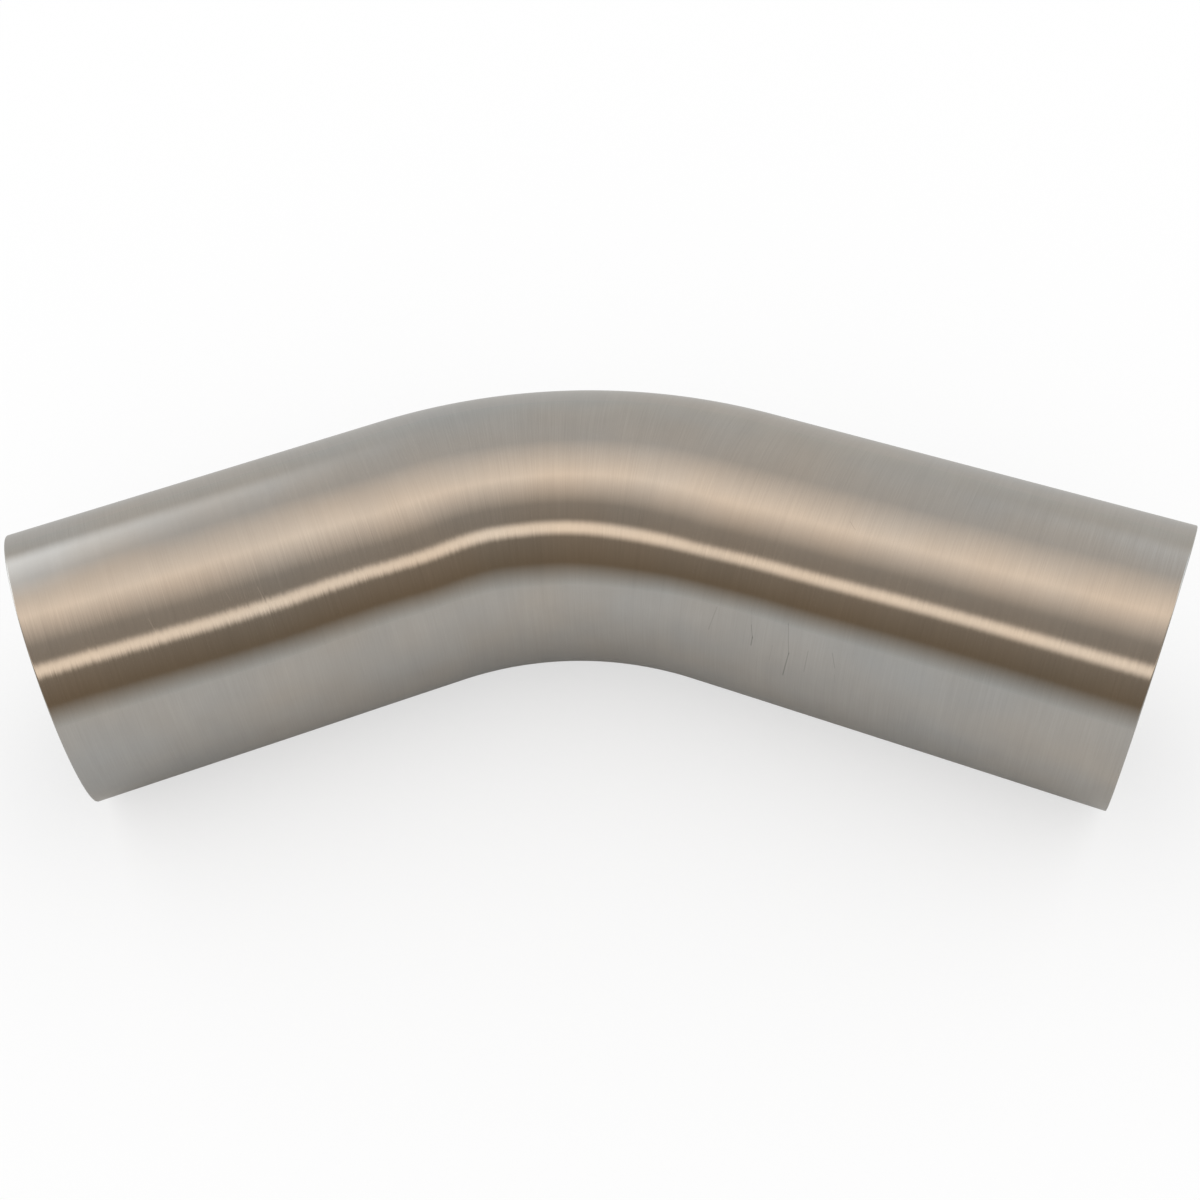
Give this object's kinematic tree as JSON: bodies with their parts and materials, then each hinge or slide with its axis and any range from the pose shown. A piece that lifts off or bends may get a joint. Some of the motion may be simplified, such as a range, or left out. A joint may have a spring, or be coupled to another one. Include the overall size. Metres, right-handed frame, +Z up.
{
  "type": "flue elbow",
  "caption": "Plain-ended 45 degree elbow in thin-wall welded stainless tube, bent in one piece on a 1.5 D radius, with a straight leg on each side and brushed all over.",
  "frame": {"origin": "under the middle of the part's bounding box, on the surface that the tube rests on", "axes": "the elbow lies on its side with its bend plane horizontal: +X from the inlet's side to the outlet's side, +Y towards the back of the bend, so both legs open towards -Y, and +Z up"},
  "size_m": [0.3188, 0.1256, 0.0762],
  "materials": {
    "brushed_stainless": "cross-brushed stainless steel, grain running round the tube, satin with a warm grey cast",
    "weld_metal": "stainless weld metal, ground flush and brushed outside, bare and faintly straw-tinted inside"
  },
  "bodies": {
    "root": {"tube_wall": "brushed_stainless", "seam_weld": "weld_metal"}
  },
  "joints": []
}
